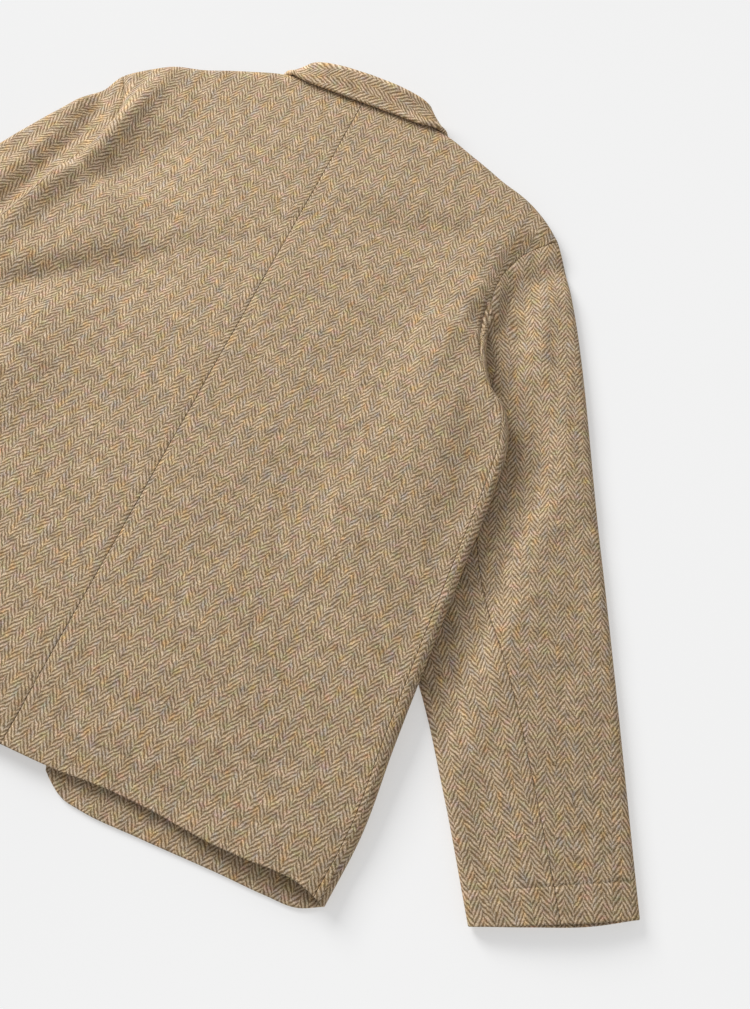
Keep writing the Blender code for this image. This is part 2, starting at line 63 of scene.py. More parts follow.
# outlines of the right half seen from above: x, y, from hem to collar
SIDE = [(0.2910, 0.0000), (0.2950, 0.0600), (0.2905, 0.1300), (0.2870, 0.2000),
        (0.2825, 0.3000), (0.2795, 0.3700), (0.2730, 0.4180), (0.2620, 0.4400),
        (0.2430, 0.4550), (0.2285, 0.4760), (0.2185, 0.4990), (0.2120, 0.5220)]
ARMHOLE = [(0.2040, 0.5500), (0.2030, 0.5780), (0.2115, 0.6060), (0.2375, 0.6355)]
# the wearer's left side bags out over its armhole and lies in a fold there
LEFT_SIDE = SIDE[:6] + [(0.2650, 0.4180), (0.2570, 0.4360), (0.2500, 0.4530),
                        (0.2440, 0.4740), (0.2390, 0.4950), (0.2325, 0.5180)]
LEFT_ARMHOLE = [(0.2245, 0.5480), (0.2205, 0.5800), (0.2240, 0.6080), (0.2375, 0.6355)]
SHOULDER = [(0.0800, 0.7055), (0.0950, 0.7020), (0.1210, 0.6922), (0.1640, 0.6760),
            (0.1910, 0.6670), (0.2195, 0.6506), (0.2375, 0.6355)]
BACK_NECK = [(0.0000, 0.7030), (0.0400, 0.7035), (0.0650, 0.7050), (0.0800, 0.7055)]
FRONT_NECK = [(0.0160, 0.6450), (0.0350, 0.6530), (0.0550, 0.6690), (0.0720, 0.6890),
              (0.0800, 0.7055)]
BACK_HEM = [(0.0000, 0.0030), (0.0480, 0.0040), (0.0980, 0.0080), (0.1400, 0.0078),
            (0.1920, 0.0055), (0.2220, 0.0065), (0.2450, 0.0083), (0.2620, 0.0083),
            (0.2780, 0.0050), (0.2910, 0.0000)]
FRONT_HEM = [(0.0405, 0.0000), (0.0500, -0.0068), (0.0635, -0.0137), (0.0800, -0.0158),
             (0.1340, -0.0150), (0.2070, -0.0123), (0.2450, -0.0116), (0.2730, -0.0092),
             (0.2910, 0.0000)]
FRONT_EDGE = [(0.0405, 0.0000), (0.0345, 0.0150), (0.0325, 0.0400), (0.0300, 0.1500),
              (0.0240, 0.4000), (0.0160, 0.6450)]
# share of the sleeve's length, x, y of its inner fold, from armhole to cuff
SLEEVE_INNER = [(0.00, 0.2120, 0.5220), (0.06, 0.2140, 0.5050), (0.11, 0.2180, 0.4870),
                (0.16, 0.2185, 0.4700), (0.21, 0.2150, 0.4500), (0.27, 0.2090, 0.4250),
                (0.33, 0.2030, 0.3960), (0.39, 0.2010, 0.3600), (0.45, 0.2060, 0.3200),
                (0.51, 0.2200, 0.2780), (0.58, 0.2440, 0.2410), (0.68, 0.2920, 0.1870),
                (0.83, 0.3450, 0.1150), (1.00, 0.4000, 0.0340)]
LEFT_SLEEVE_INNER = [(0.00, 0.2325, 0.5180), (0.06, 0.2290, 0.5010)] + SLEEVE_INNER[2:]

# Creases of the back: middle x, y, turn in degrees, half length, half width to the
# right of it and to the left, rise (a trough is negative).
BACK_CREASES = [(-0.132, 0.438, 37, 0.105, 0.044, 0.016, -0.0062),
                (-0.194, 0.390, 38, 0.050, 0.030, 0.013, -0.0058),
                (-0.168, 0.556, 60, 0.064, 0.046, 0.022, -0.0078),
                (0.110, 0.590, 12, 0.070, 0.034, 0.016, -0.0046),
                (0.214, 0.598, 48, 0.044, 0.020, 0.020, -0.0066),
                (0.188, 0.545, 86, 0.078, 0.014, 0.030, 0.0074),
                (0.216, 0.400, 98, 0.090, 0.022, 0.036, 0.0054),
                (0.250, 0.446, -50, 0.062, 0.018, 0.018, 0.0056),
                (0.284, 0.330, 92, 0.120, 0.010, 0.010, 0.0016),
                (0.258, 0.310, 94, 0.120, 0.016, 0.024, -0.0020),
                (-0.205, 0.592, 80, 0.060, 0.012, 0.012, 0.0080),
                (-0.232, 0.480, 72, 0.075, 0.014, 0.014, 0.0080),
                (0.250, 0.010, 90, 0.070, 0.045, 0.045, 0.0032),
                (0.095, 0.000, 0, 0.070, 0.035, 0.035, -0.0034),
                (-0.095, 0.000, 0, 0.070, 0.035, 0.035, -0.0034),
                (0.060, 0.060, 28, 0.090, 0.022, 0.016, -0.0018),
                (0.148, 0.350, 80, 0.080, 0.030, 0.024, -0.0030),
                (0.205, 0.250, 80, 0.120, 0.022, 0.022, -0.0012),
                (0.060, 0.170, 65, 0.100, 0.035, 0.035, -0.0010),
                (-0.070, 0.260, 110, 0.100, 0.030, 0.030, -0.0012),
                (-0.210, 0.300, 78, 0.090, 0.025, 0.025, -0.0014),
                (-0.120, 0.120, 100, 0.090, 0.035, 0.035, 0.0011),
                (0.150, 0.030, 95, 0.040, 0.020, 0.020, -0.0010),
                (-0.060, 0.600, 150, 0.060, 0.024, 0.024, -0.0010),
                (0.030, 0.500, 20, 0.080, 0.026, 0.026, 0.0008)]
# depth and half width of the dips along the middle seam, the caught hem and the tuck
SEAM_DIP, HEM_DIP, TUCK_DIP = (0.0005, 0.0026), (0.0005, 0.0016), (0.0028, 0.0017)
SEAM_TOP, SEAM_FADE = 0.70, 0.02     # where the middle seam's dip ends at the collar
# the tuck that lies along the right armhole just inside its seam: x, y
TUCK = [(0.2015, 0.5440), (0.2047, 0.5244), (0.2100, 0.5050), (0.2160, 0.4890), (0.2240, 0.4760)]
# lengths over which it fades at its lower and upper end, and how far it runs past its top
LOW_FADE, HIGH_FADE, TUCK_PAST = 0.016, 0.014, 0.006


def smooth(table, stops=None):
    """A smooth curve through the rows of a table, as a function of 0 to 1 along it."""
    rows = np.array(table, float)
    if stops is None:
        steps = np.linalg.norm(np.diff(rows, axis=0), axis=1)
        stops = np.concatenate([[0.0], np.cumsum(steps)])
        stops /= stops[-1]
    slopes = np.gradient(rows, stops, axis=0)

    def read(share):
        share = np.clip(np.asarray(share, float), 0.0, 1.0)
        low = np.clip(np.searchsorted(stops, share, side="right") - 1, 0, len(stops) - 2)
        span = (stops[low + 1] - stops[low])[..., None]
        t = (share - stops[low])[..., None] / span
        return ((1 + 2 * t) * (1 - t) ** 2 * rows[low] + t * (1 - t) ** 2 * span * slopes[low]
                + t * t * (3 - 2 * t) * rows[low + 1] - t * t * (1 - t) * span * slopes[low + 1])

    return read


def smooth_at(table):
    """The same, where the table's first column gives each row's own share."""
    rows = np.array(table, float)
    return smooth(rows[:, 1:], rows[:, 0])


def ease(value):
    """A soft step from 0 to 1."""
    value = np.clip(value, 0.0, 1.0)
    return value * value * (3 - 2 * value)


def ridge(gap, rise, half_width):
    """Height of a soft ridge, at a distance from its line."""
    return rise * np.exp(-(gap / half_width) ** 2)


def unit(vectors):
    """The same directions with a length of one."""
    return vectors / np.maximum(np.linalg.norm(vectors, axis=-1, keepdims=True), 1e-12)


def distance(x, y, line):
    """Distance to a line of points, and on which side of it a place lies."""
    starts, ends = line[:-1], line[1:]
    along = ends - starts
    rel = np.stack([x, y], -1)[..., None, :] - starts
    t = np.clip((rel * along).sum(-1) / (along * along).sum(-1), 0.0, 1.0)
    gaps = np.linalg.norm(rel - t[..., None] * along, axis=-1)
    near = gaps.argmin(-1)[..., None]
    cross = along[..., 0] * rel[..., 1] - along[..., 1] * rel[..., 0]
    return (np.take_along_axis(gaps, near, -1)[..., 0],
            np.sign(np.take_along_axis(cross, near, -1))[..., 0])


EDGE_LENGTHS = np.linalg.norm(np.diff(np.array(SIDE + ARMHOLE), axis=0), axis=1)
EDGE_SHARES = np.concatenate([[0.0], np.cumsum(EDGE_LENGTHS)]) / EDGE_LENGTHS.sum()
UNDERARM = EDGE_SHARES[len(SIDE) - 1]
body_edge = {1: smooth(SIDE + ARMHOLE, EDGE_SHARES),
             -1: smooth(LEFT_SIDE + LEFT_ARMHOLE, EDGE_SHARES)}
NECK_SHARE = 0.325      # share of a panel's top line that is neckline
FLAT_TURN, FULL_TURN = radians(20), radians(90)
# share of the armhole over which the turn at the side grows flat, on the back and the front
TURN_FADE = {True: 0.45, False: 0.20}
SEAM_END = 0.09         # share of the armhole over which back and front part
# how far the back dips where the sleeve is set in, and how much of the armhole it takes
LIP, LIP_FADE = {1: 0.0018, -1: 0.0150}, {1: 0.65, -1: 0.90}
LIP_START, LIP_REST = 0.2, 0.1      # when it starts to fade, and the share that is left
HEM_FOLD = 0.028        # depth of the turned up hem

sleeve_inner = {1: smooth_at(SLEEVE_INNER), -1: smooth_at(LEFT_SLEEVE_INNER)}
TUCKED_LINE = {side: sleeve_inner[side](np.linspace(0.0, 1.0, 41)) for side in (1, -1)}
NECK_LINE = smooth(FRONT_NECK)(np.linspace(0.0, 1.0, 13))
SHOULDER_LINE = smooth(SHOULDER)(np.linspace(0.0, 1.0, 25))


def top_line(neck):
    """The top of a panel, first along its neckline and then along the shoulder."""
    neckline, shoulder = smooth(neck), smooth(SHOULDER)

    def read(share):
        return np.where((share < NECK_SHARE)[..., None], neckline(share / NECK_SHARE),
                        shoulder((share - NECK_SHARE) / (1 - NECK_SHARE)))

    return read


def over_sleeve(x, y, ramp):
    """How far the cloth is lifted by the sleeve that lies under the body's side."""
    gap, side = distance(np.abs(x), y, TUCKED_LINE[1])
    inside = np.where((side > 0) & (y < SIDE[-1][1]), gap, -gap)
    lifted = ease((inside + SLEEVE_CLEAR + ramp) / ramp)
    return SLEEVE_RISE * lifted * ease((SIDE[-1][1] - y) / ARM_FADE)


def creased(x, y, table):
    """Height of all creases of a table, each as long and wide as its row says."""
    height = np.zeros_like(x)
    for middle_x, middle_y, turn, half_length, half_right, half_left, rise in table:
        cos, sin = np.cos(radians(turn)), np.sin(radians(turn))
        along = (x - middle_x) * cos + (y - middle_y) * sin
        across = (y - middle_y) * cos - (x - middle_x) * sin
        half_width = np.where(across > 0, half_left, half_right)
        height = height + rise * np.exp(-(along / half_length) ** 2 - (across / half_width) ** 2)
    return height


def uneven(x, y, rise, size):
    """The slight waviness of cloth that lies loose: three long ripples that cross."""
    k = 2 * np.pi / size
    return rise * (np.sin(k * (x + 0.35 * y) + 1.7 * np.sin(0.6 * k * y)) * 0.5
                   + np.sin(k * (0.62 * y - 0.48 * x) + 2.1) * 0.35
                   + np.sin(1.7 * k * (y + 0.2 * x) + 1.2 * np.sin(0.5 * k * x)) * 0.25)


def front_height(x, y):
    """Height of the front's under face above the floor."""
    gap, _ = distance(np.abs(x), y, NECK_LINE)
    lifted = ease((COLLAR_REACH - gap) / COLLAR_RAMP)
    return over_sleeve(x, y, FRONT_RAMP) + COLLAR_RISE * lifted


def back_height(x, y):
    """Height of the back's outer face above the floor."""
    return (BACK_HEIGHT + BACK_SHARE * over_sleeve(x, y, BACK_RAMP)
            + creased(x, y, BACK_CREASES) + uneven(x, y, *BODY_WAVES))


def turned(near, turn):
    """How much of its drop the cloth has made, from 0 where the turn starts to 1."""
    return (1 - np.sqrt(1 - (near * np.sin(turn)) ** 2)) / (1 - np.cos(turn))


def panel(side, is_back, u, v):
    """Middle layer of a back or front, u out from its middle edge and v up from its hem."""
    if is_back:
        left = smooth([BACK_HEM[0], BACK_NECK[0]])
        bottom, top = smooth(BACK_HEM), top_line(BACK_NECK)
    else:
        left = smooth(FRONT_EDGE)
        bottom, top = smooth(FRONT_HEM), top_line(FRONT_NECK)
    u_, v_ = u[..., None], v[..., None]
    ends = np.array([0.0, 1.0])
    (b0, b1), (t0, t1) = bottom(ends), top(ends)
    plan = ((1 - u_) * left(v) + u_ * body_edge[side](v) + (1 - v_) * bottom(u) + v_ * top(u)
            - (1 - u_) * (1 - v_) * b0 - u_ * (1 - v_) * b1 - (1 - u_) * v_ * t0 - u_ * v_ * t1)
    x, y = plan[..., 0] * side, plan[..., 1]
    low, high = front_height(x, y), back_height(x, y)
    half_way = (low + high) / 2
    flat = high - CLOTH / 2 if is_back else low + CLOTH / 2
    arm = np.clip((v - UNDERARM) / (1 - UNDERARM), 0.0, 1.0)
    side_turn = FLAT_TURN + (FULL_TURN - FLAT_TURN) * (1 - ease(arm / TURN_FADE[is_back]))
    near_side = np.clip(1 - (1 - u) * body_edge[side](v)[..., 0] / BODY_ROLL, 0.0, 1.0)
    seam = ease(1 - arm / SEAM_END)
    lip = LIP[side] * (1 + LIP_REST - ease(arm / LIP_FADE[side] - LIP_START))
    fall = flat - half_way
    side_fall = turned(near_side, side_turn) * (
        seam + (1 - seam) * np.minimum(lip, flat - LOWEST_EDGE) / fall if is_back else seam)
    near_top = np.clip(1 - distance(plan[..., 0], y, SHOULDER_LINE)[0] / BODY_ROLL, 0.0, 1.0)
    z = flat - fall * (1 - (1 - side_fall) * (1 - turned(near_top, FULL_TURN)))
    if is_back:
        z = z - ridge(y - smooth(BACK_HEM)(u)[..., 1] - HEM_FOLD, *HEM_DIP)
        z = z - ridge(x, *SEAM_DIP) * ease((SEAM_TOP - y) / SEAM_FADE)
        if side > 0:
            ends = (ease((y - TUCK[-1][1]) / LOW_FADE)
                    * ease((TUCK[0][1] + TUCK_PAST - y) / HIGH_FADE))
            z = z - ridge(distance(x, y, np.array(TUCK))[0], *TUCK_DIP) * ends
    return np.stack([x, y, z], -1)


# distances in from an edge at which the cloth has rows, for a round rim
EDGE_PLACES = np.array([0.0, 0.0003, 0.0007, 0.0012, 0.0020, 0.0032, 0.0048, 0.0068])
ROW_PITCH, CLOSE_PITCH = 0.0032, 0.0010      # spacing of the rows, and where a dip needs more


def places(length, pitch=ROW_PITCH, close=(0.0, 0.0)):
    """Shares of a length at an even pitch, closer at both ends and over the close stretch."""
    middle = np.linspace(EDGE_PLACES[-1], length - EDGE_PLACES[-1],
                         max(3, round((length - 2 * EDGE_PLACES[-1]) / pitch) + 1))[1:-1]
    if close[1] > close[0]:
        apart = CLOSE_PITCH / 2
        middle = middle[(middle < close[0] - apart) | (middle > close[1] + apart)]
        middle = np.sort(np.concatenate([middle, np.arange(*close, CLOSE_PITCH)]))
    return np.concatenate([EDGE_PLACES, middle, length - EDGE_PLACES[::-1]]) / length


def grown(points, axis, skip=None):
    """Distance run along a grid, leaving out the direction skip."""
    steps = np.diff(points, axis=axis)
    if skip is not None:
        steps = steps - (steps @ skip)[..., None] * skip
    lengths = np.linalg.norm(steps, axis=-1)
    run = np.cumsum(lengths, axis=axis)
    return np.concatenate([np.zeros_like(np.take(run, [0], axis)), run], axis)


def rounded(points, radius):
    """Share of its full thickness that a wall has, falling off in a half circle at its rim."""
    share = 1.0
    for axis in (0, 1):
        run = grown(points, axis)
        near = np.minimum(run, np.take(run, [-1], axis) - run)
        share = np.minimum(share, np.sqrt(1 - (1 - np.minimum(near / radius, 1.0)) ** 2))
    return share


RIM_ROUND = 0.4         # radius of a cut edge as a share of the thickness


def finished(name, mesh, material):
    """Turn a bmesh into an object of the scene."""
    data = bpy.data.meshes.new(name)
    mesh.to_mesh(data)
    mesh.free()
    data.shade_smooth()
    data.materials.append(material)
    made = bpy.data.objects.new(name, data)
    bpy.context.collection.objects.link(made)
    return made


def cloth_piece(name, points, cloth_map, thickness, material, node, facing=1, hem=0.0):
    """A closed piece of cloth: an outer and an inner grid that meet in a rounded rim.

    The inner grid lies deeper by hem where the cloth is turned up and so is double.
    Facing is 1 where columns, rows and the right side turn like x, y and z, else -1.
    """
    columns, rows = points.shape[:2]
    out = facing * unit(np.cross(np.gradient(points, axis=0), np.gradient(points, axis=1)))
    rim = rounded(points, RIM_ROUND * (thickness + hem))
    depth = {1: thickness / 2 * rim, -1: -(thickness / 2 + hem) * rim}
    mesh = bmesh.new()
    cloth = mesh.loops.layers.uv.new("cloth")
    for face_side in (1, -1):
        grid = bmesh.ops.create_grid(mesh, x_segments=columns - 1, y_segments=rows - 1, size=0.5)
        place = points + out * depth[face_side][..., None] - np.array([0.0, MIDDLE_Y, 0.0])
        spots = {}
        for vert in grid["verts"]:
            column = round((vert.co.x + 0.5) * (columns - 1))
            row = round((vert.co.y + 0.5) * (rows - 1))
            spots[vert] = cloth_map[column, row]
            vert.co = place[column, row]
        faces = list({face for vert in grid["verts"] for face in vert.link_faces})
        for face in faces:
            for loop in face.loops:
                loop[cloth].uv = spots[loop.vert]
        if face_side < 0:
            bmesh.ops.reverse_faces(mesh, faces=faces)
    bmesh.ops.remove_doubles(mesh, verts=mesh.verts, dist=1e-6)
    bmesh.ops.recalc_face_normals(mesh, faces=mesh.faces)
    piece = finished(name, mesh, material)
    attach(piece, "root")
    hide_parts(node)
    return piece


ARM_WIDTH = 7.6         # mm, width of one arm of the herringbone
REPEAT = 5.05           # mm along the warp from one light line to the next
SLOPE = 1.39            # how far the lines run along the warp for each mm across
BREAK = 0.50            # share of the repeat by which one arm is out of step with the next
SPREAD = 2.0            # one light and one dark line fill a repeat from 0 to 1
LIGHT_YARN = (0.605, 0.467, 0.318)
DARK_YARN = (0.242, 0.160, 0.084)
# how the lines stray: size of a stray patch, detail, roughness, reach across and along in mm
STRAYS = [((30, 30, 30), 3.0, 0.6, (3.4, 5.0, 0.0)), ((4.5, 4.5, 4.5), 1.0, 0.5, (1.7, 3.0, 0.0))]
# tints of the fibres spun into the yarns, in patches that run along and across
LONG_TINTS = [(0.24, (0.88, 0.98, 1.20)), (0.34, (0.95, 0.99, 1.09)), (0.46, (1, 1, 1)),
              (0.54, (1, 1, 1)), (0.66, (1.05, 0.99, 0.87)), (0.76, (1.12, 0.97, 0.74))]
CROSS_TINTS = [(0.24, (0.94, 1.04, 0.88)), (0.34, (0.97, 1.02, 0.95)), (0.46, (1, 1, 1)),
               (0.54, (1, 1, 1)), (0.66, (1.03, 0.975, 1.02)), (0.76, (1.08, 0.94, 1.05))]


def tweed(name, shift, turn=0.0, painted_light=1.0):
    """Woven wool: arms of slanting light and dark lines, each yarn spun of mixed fibres."""
    material = bpy.data.materials.new(name)
    material.use_nodes = True
    tree = material.node_tree
    surface = tree.nodes["Principled BSDF"]

    def add(kind, **settings):
        node = tree.nodes.new("ShaderNode" + kind)
        for key, value in settings.items():
            setattr(node, key, value)
        return node

    def feed(socket, value):
        if isinstance(value, bpy.types.NodeSocket):
            tree.links.new(value, socket)
        else:
            socket.default_value = value

    def math(operation, first, second=0.0, third=None):
        node = add("Math", operation=operation)
        feed(node.inputs[0], first)
        feed(node.inputs[1], second)
        if third is not None:
            feed(node.inputs[2], third)
        return node.outputs[0]

    def vector(operation, first, second):
        node = add("VectorMath", operation=operation)
        feed(node.inputs[0], first)
        feed(node.inputs[1], second)
        return node.outputs[0]

    def clouds(place, size, detail=2.0, rough=0.5):
        """Soft noise whose patches are about as wide and as long as size says, in mm."""
        node = add("TexNoise")
        feed(node.inputs["Vector"], vector("MULTIPLY", place, [1 / reach for reach in size]))
        feed(node.inputs["Scale"], 1.0)
        feed(node.inputs["Detail"], detail)
        feed(node.inputs["Roughness"], rough)
        return node.outputs

    def ramp(value, stops):
        node = add("ValToRGB")
        while len(node.color_ramp.elements) < len(stops):
            node.color_ramp.elements.new(0.5)
        for element, (at, colour) in zip(node.color_ramp.elements, stops):
            element.position = at
            element.color = (*colour, 1.0)
        feed(node.inputs[0], value)
        return node.outputs[0]

    def blend(factor, first, second, kind="MIX"):
        node = add("MixRGB", blend_type=kind)
        feed(node.inputs[0], factor)
        feed(node.inputs[1], first)
        feed(node.inputs[2], second)
        return node.outputs[0]

    def stretch(value, low, high, to_low, to_high):
        node = add("MapRange")
        for socket, number in enumerate((value, low, high, to_low, to_high)):
            feed(node.inputs[socket], number)
        return node.outputs[0]

    # place on the cloth in mm, turned to the grain and a little wavering
    spot = add("Mapping")
    feed(spot.inputs["Vector"], add("UVMap", uv_map="cloth").outputs[0])
    spot.inputs["Location"].default_value = (*shift, 0.0)
    spot.inputs["Rotation"].default_value = (0.0, 0.0, radians(turn))
    spot.inputs["Scale"].default_value = (1000, 1000, 1000)
    spot = spot.outputs[0]
    place = spot
    for size, detail, rough, reach in STRAYS:
        stray = vector("SUBTRACT", clouds(spot, size, detail, rough)[1], (0.5, 0.5, 0.5))
        place = vector("ADD", place, vector("MULTIPLY", stray, reach))
    parts = add("SeparateXYZ")
    feed(parts.inputs[0], place)
    across, along = parts.outputs[0], parts.outputs[1]
    arm = math("FLOOR", math("DIVIDE", across, ARM_WIDTH))
    slant = math("MULTIPLY", math("PINGPONG", across, ARM_WIDTH), SLOPE)
    line = math("ADD", math("DIVIDE", math("ADD", along, slant), REPEAT),
                math("MULTIPLY", math("PINGPONG", arm, 1.0), BREAK))
    slub = clouds(spot, (1.7, 1.7, 1.7), 2.0, 0.7)[0]
    wave = math("ADD", math("MULTIPLY", math("PINGPONG", line, 0.5), SPREAD),
                math("MULTIPLY", math("SUBTRACT", slub, 0.5), 1.10))
    light = add("MapRange", interpolation_type="SMOOTHSTEP")
    feed(light.inputs[0], wave)
    feed(light.inputs[1], 0.20)
    feed(light.inputs[2], 0.80)
    colour = blend(light.outputs[0], (*DARK_YARN, 1.0), (*LIGHT_YARN, 1.0))
    # the fibres mixed into the yarns show as soft patches of other tints
    colour = blend(1.0, colour, ramp(clouds(spot, (7, 13, 8), 1.0)[0], LONG_TINTS), "MULTIPLY")
    colour = blend(1.0, colour, ramp(clouds(spot, (12, 7, 9), 1.0)[0], CROSS_TINTS), "MULTIPLY")
    fibres = clouds(spot, (1.0, 1.0, 1.0), 2.0, 0.6)[0]
    patches = clouds(spot, (13, 13, 13), 3.0, 1.0)[0]
    # painted light: the last argument lightens the whole cloth; only the collar takes it, for the
    # extra light it catches
    tone = math("MULTIPLY", stretch(fibres, 0.25, 0.75, 0.50, 1.50),
                stretch(patches, 0.30, 0.70, 0.68 * painted_light, 1.32 * painted_light))
    feed(surface.inputs["Base Color"], blend(1.0, colour, tone, "MULTIPLY"))
    bump = add("Bump")
    feed(bump.inputs["Strength"], 0.70)
    feed(bump.inputs["Distance"], 0.0007)
    feed(bump.inputs["Height"], math("ADD", math("MULTIPLY", wave, 0.5), fibres))
    feed(surface.inputs["Normal"], bump.outputs[0])
    surface.inputs["Roughness"].default_value = 0.93
    surface.inputs["Specular IOR Level"].default_value = 0.20
    surface.inputs["Sheen Weight"].default_value = 0.20
    surface.inputs["Sheen Roughness"].default_value = 0.45
    surface.inputs["Sheen Tint"].default_value = (0.80, 0.66, 0.50, 1.0)
    return material


def body_map(points):
    """Place on the flat cloth: out from the middle and up from the hem."""
    return np.stack([np.abs(points[:1, :, 0]) + grown(points, 0, np.array([0.0, 1.0, 0.0])),
                     points[:, :1, 1] + grown(points, 1, np.array([1.0, 0.0, 0.0]))], -1)


WRAP_FADE = 0.060       # the wrap of the front ends over this much of the side


def wrap_share(v):
    """Share of the body's width that the front covers on the back's side."""
    return SIDE_WRAP * ease((UNDERARM - v) / WRAP_FADE) / body_edge[1](v)[..., 0]


PLY_END = 0.003         # the turned up cloth thins out over this much past its stitches


def turned_up(height):
    """Where the hem is double, from its lower edge to the line where it is caught."""
    return ease((HEM_FOLD + PLY_END - height) / PLY_END)


NAMES = {1: "right", -1: "left"}
BODY_WIDTH, BODY_LENGTH = 0.290, 0.720
BACK_PLY, FRONT_PLY = 0.0015, 0.0012     # thickness of the cloth turned up at the hem
HEM_CLOSE, SIDE_CLOSE = (0.024, 0.034), (0.260, 0.282)   # stretches with closer rows
BODY_ROWS = places(BODY_LENGTH, close=HEM_CLOSE)
BACK_COLUMNS = places(BODY_WIDTH, close=SIDE_CLOSE)
# where the weave starts on each half, in mm, and how far its grain turns, in degrees
BACK_SHIFTS = {1: (0.6, 0.0), -1: (3.1, 2.3)}
BACK_TURNS = {1: 1.0, -1: -4.0}

for side in (1, -1):
    share, rows = np.meshgrid(BACK_COLUMNS, BODY_ROWS, indexing="ij")
    points = panel(side, True, share * (1 - wrap_share(rows)), rows)
    piece = cloth_piece("back_cloth_" + NAMES[side], points, body_map(points), CLOTH,
                        tweed("tweed_back_" + NAMES[side], BACK_SHIFTS[side], BACK_TURNS[side]),
                        "back_" + NAMES[side], side,
                        BACK_PLY * turned_up(rows * BODY_LENGTH))


def thread(name, colour):
    """Plain matt sewing thread."""
    material = bpy.data.materials.new(name)
    material.use_nodes = True
    yarn = material.node_tree.nodes["Principled BSDF"]
    yarn.inputs["Base Color"].default_value = (*colour, 1.0)
    yarn.inputs["Roughness"].default_value = 0.85
    return material


def stitch_row(name, spots, sunk, length, width, material):
    """A row of stitches: small plump beads of thread, sunk a little into the cloth."""
    ways = unit(np.gradient(spots, axis=0))
    spots = spots + np.array([0.0, -MIDDLE_Y, CLOTH / 2 - sunk])
    mesh = bmesh.new()
    for spot, way in zip(spots, ways):
        across = unit(np.cross((0.0, 0.0, 1.0), way))
        shape = np.column_stack([way * length, across * width, np.cross(way, across) * width])
        shape = np.column_stack([shape / 2, spot])
        bmesh.ops.create_uvsphere(mesh, u_segments=6, v_segments=4, radius=1.0,
                                  matrix=Matrix([*shape.tolist(), [0, 0, 0, 1]]))
    piece = finished(name, mesh, material)
    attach(piece, "root")


# start, end and spacing of a row of stitches, and how deep, long and wide one of them is
SEAM_RUN, SEAM_STITCH = (0.012, 0.700, 0.0031), (0.0006, 0.0019, 0.0009)
HEM_RUN, HEM_STITCH = (0.012, 0.280, 0.0065), (0.0002, 0.0016, 0.0006)

# the middle seam is caught by a dark thread that shows as dots between the halves
share = np.arange(*SEAM_RUN) / BACK_NECK[0][1]
seam = panel(1, True, np.zeros_like(share), share)
stitch_row("seam_stitches_middle", seam, *SEAM_STITCH,
           thread("seam_thread", (0.075, 0.048, 0.028)))

# the turned up hem is felled by hand and shows as faint pricks on the outside
HEM_THREAD = thread("hem_thread", (0.160, 0.105, 0.058))
for side in (1, -1):
    share = np.arange(*HEM_RUN) / BODY_WIDTH
    height = np.full_like(share, HEM_FOLD / BODY_LENGTH)
    caught = panel(side, True, share * (1 - wrap_share(height)), height)
    stitch_row("hem_stitches_" + NAMES[side], caught, *HEM_STITCH, HEM_THREAD)

# ----------------------------------------------------------------------- fronts
# The fronts lie face down on the floor with their edges a hand's width apart.  Each
# one comes round the side to a seam that shows on the back, and its hem hangs a
# little lower than the back's.
FRONT_WIDTH, WRAP_PITCH = 0.260, 0.0016      # width on the floor, spacing of rows on the wrap
FRONT_SHIFT = (1.2, 2.0)

for side in (1, -1):
    share, rows = np.meshgrid(places(FRONT_WIDTH), BODY_ROWS, indexing="ij")
    flat = panel(side, False, share, rows)
    over, rows = np.meshgrid(places(SIDE_WRAP, WRAP_PITCH)[1:], BODY_ROWS, indexing="ij")
    wrapped = panel(side, True, 1 - over * wrap_share(rows), rows)
    points = np.concatenate([flat, wrapped])
    piece = cloth_piece("front_cloth_" + NAMES[side], points, body_map(points), CLOTH,
                        tweed("tweed_front_" + NAMES[side], FRONT_SHIFT),
                        "front_" + NAMES[side], -side,
                        FRONT_PLY * turned_up(rows[:1] * BODY_LENGTH))

# ---------------------------------------------------------------------- sleeves
# Each sleeve is a flat tube of two pieces, the wide top one round the outer fold and
# the narrow under one round the inner fold.  It is set into the armhole, and its
# upper part lies under the side of the body.
SLEEVE_LENGTH = 0.600
SLEEVE_EDGE = 0.0042    # height of a sleeve along its folds where it lies by the body
SLEEVE_BANK = 0.0071    # how much higher its folds are away from the body
SLEEVE_CROWN = 0.0055   # how much higher again it is between its folds
BODY_CLING = (0.0026, 0.014)    # how much the body's edge draws it up, and how far out
SLEEVE_ROLL = 0.0060    # how far the cloth takes to turn at its folds
FOREARM = 0.76          # place across of the seam on the lower layer
SLEEVE_OUTER = [(0.00, 0.2375, 0.6355), (0.04, 0.2502, 0.6175), (0.50, 0.3830, 0.3640),
                (1.00, 0.5175, 0.0930)]
CUFF = [(0.5175, 0.0930), (0.4865, 0.0735), (0.4430, 0.0530), (0.4000, 0.0340)]
CUFF_DRAW = 0.0200      # the upper layer's cuff is drawn back by a seventh of this at most
CUFF_PLY = 0.0011       # thickness of the cloth turned up at the cuff
CUFF_DIP = (0.0008, 0.0015)     # depth and half width of the dip where that is caught
CUFF_STITCH = (0.0002, 0.0018, 0.0006)
SLEEVE_PARTS = 0.0022   # how far the layers are parted along the inner fold's seam
SLEEVE_GAP = 0.0002     # between the sleeve's edge and the body's
SLEEVE_WAVES = (0.0006, 0.07)
TOP_WEAVE, UNDER_WEAVE = ((2.0, 1.0), 6.5), ((4.5, 3.0), -8.0)   # start and turn of the weave
# place of the elbow seam on the upper layer: share of the length, share across
ELBOW_SEAM = [(0.00, 0.86), (0.12, 0.80), (0.35, 0.63), (0.70, 0.54), (1.00, 0.47)]
SETTLES = {1: 0.075, -1: 0.045}  # share of its length that the sleeve takes to lie flat
SOONER = 0.45           # and by how much less of that at its inner fold
